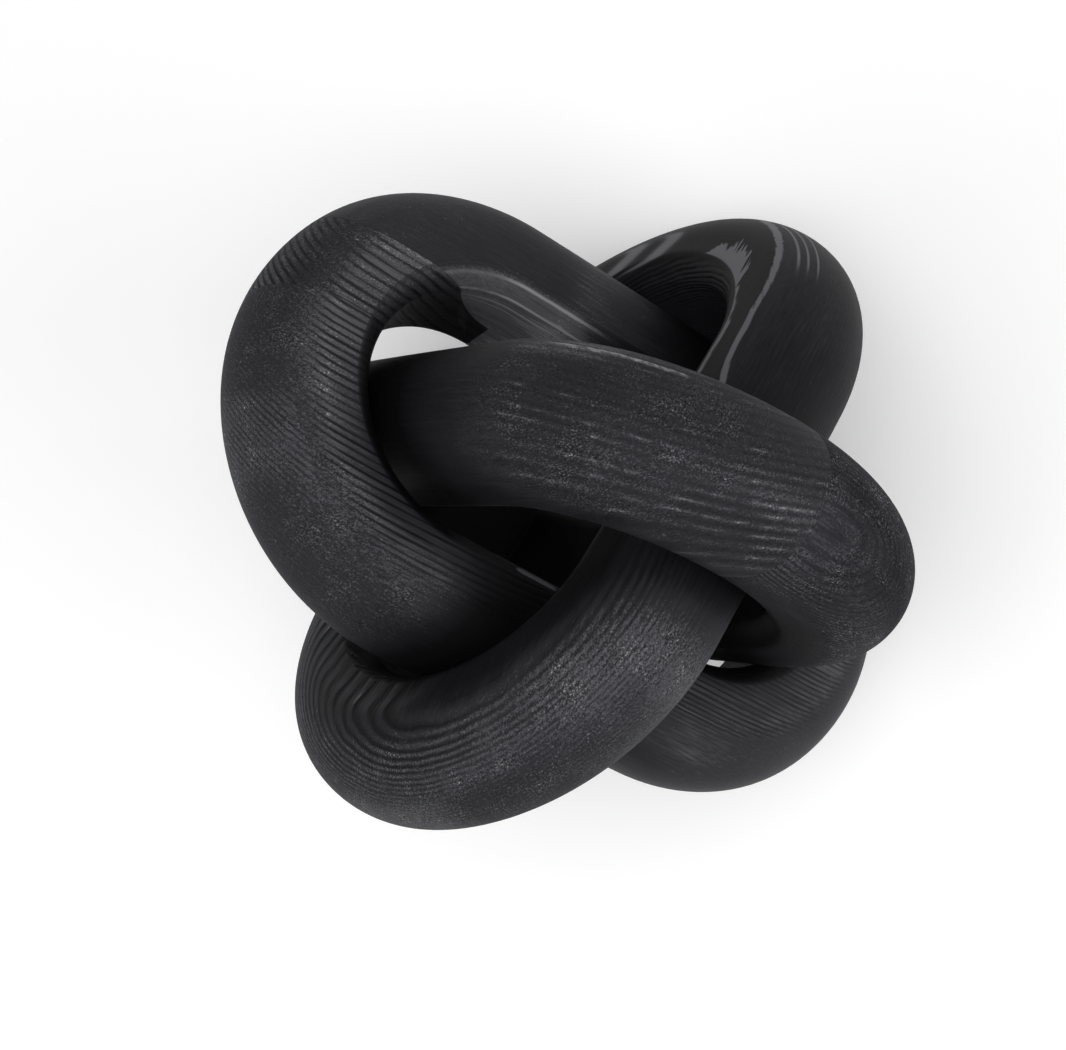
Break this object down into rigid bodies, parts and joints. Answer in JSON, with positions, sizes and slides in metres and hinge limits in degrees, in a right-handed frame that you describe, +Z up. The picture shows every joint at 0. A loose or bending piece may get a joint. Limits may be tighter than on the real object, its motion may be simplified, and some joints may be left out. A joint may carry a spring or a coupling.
{
  "type": "wooden knot sculpture",
  "caption": "Decorative wooden knot of long closed links, each lying round one neighbour and inside the other, that stands loose on its own bends.",
  "frame": {"origin": "on the table that the knot stands on, under the middle of its box", "axes": "+Z up as the knot stands on one bend of each link, +X along the first link's length seen from above"},
  "size_m": [0.0984, 0.0872, 0.0911],
  "materials": {
    "black_wood": "matte",
    "dowel_wood": "matte"
  },
  "bodies": {
    "first_link": {"first_link_front_half": "black_wood", "first_link_back_half": "black_wood", "first_link_near_dowel": "dowel_wood", "first_link_far_dowel": "dowel_wood"},
    "second_link": {"second_link_main_half": "black_wood", "second_link_side_bar": "black_wood", "second_link_near_block": "black_wood", "second_link_far_block": "black_wood"},
    "third_link": {"third_link_ring": "black_wood"}
  },
  "joints": [
    {"name": "first_link_slide", "type": "slide", "parent": "second_link", "child": "first_link", "axis": [0.775, 0, 0.6319], "range_m": [-0.0015, 0.0018]},
    {"name": "third_link_rock", "type": "hinge", "parent": "second_link", "child": "third_link", "pos_m": [0.00182, -0.00027, 0.04235], "axis": [0.8629, 0.0205, 0.5049], "range_deg": [0, 11]}
  ]
}
